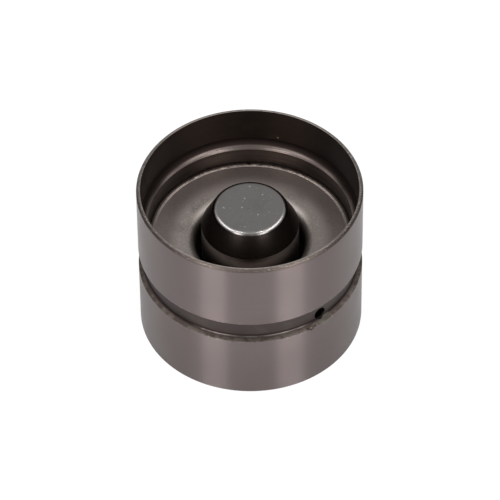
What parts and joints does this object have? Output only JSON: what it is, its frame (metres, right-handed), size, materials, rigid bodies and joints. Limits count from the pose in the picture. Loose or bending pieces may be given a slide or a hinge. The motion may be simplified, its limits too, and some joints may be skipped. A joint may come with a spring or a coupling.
{
  "type": "hydraulic valve lifter",
  "caption": "Hydraulic bucket tappet: ground steel bucket with an oil groove, an inner web with rolled lip, and a spring-loaded barrel that takes up valve clearance.",
  "frame": {"origin": "centre of the closed cam face, which the lifter stands on", "axes": "+Z along the lifter's axis from the cam face to the open end and the valve; -Y towards the picture's viewer; the oil feed hole points 39.5 degrees from -Y towards +X"},
  "size_m": [0.033, 0.033, 0.026],
  "materials": {
    "bucket_steel": "hardened, fine ground, dark",
    "web_steel": "drawn sheet, satin",
    "barrel_steel": "hardened, polished, satin end face",
    "plunger_steel": "lapped",
    "ball_steel": "polished",
    "cage_steel": "pressed sheet",
    "spring_steel": "oil-tempered wire and strip"
  },
  "bodies": {
    "bucket": {"outer_housing": "bucket_steel", "support_element": "web_steel", "plunger": "plunger_steel", "ball_cage": "cage_steel", "ball_spring": "spring_steel", "return_spring": "spring_steel"},
    "barrel": {"inner_housing": "barrel_steel", "retaining_ring": "spring_steel"},
    "ball": {"check_ball": "ball_steel"}
  },
  "joints": [
    {"name": "barrel_slide", "type": "slide", "parent": "bucket", "child": "barrel", "axis": [0, 0, 1], "range_m": [-0.0024, 0], "stiffness_N_per_m": 1500, "springref_m": 0.001, "deforming": ["return_spring"]},
    {"name": "ball_lift", "type": "slide", "parent": "bucket", "child": "ball", "axis": [0, 0, 1], "range_m": [0, 0.0003], "stiffness_N_per_m": 40, "springref_m": -0.0005, "deforming": ["ball_spring"]}
  ]
}
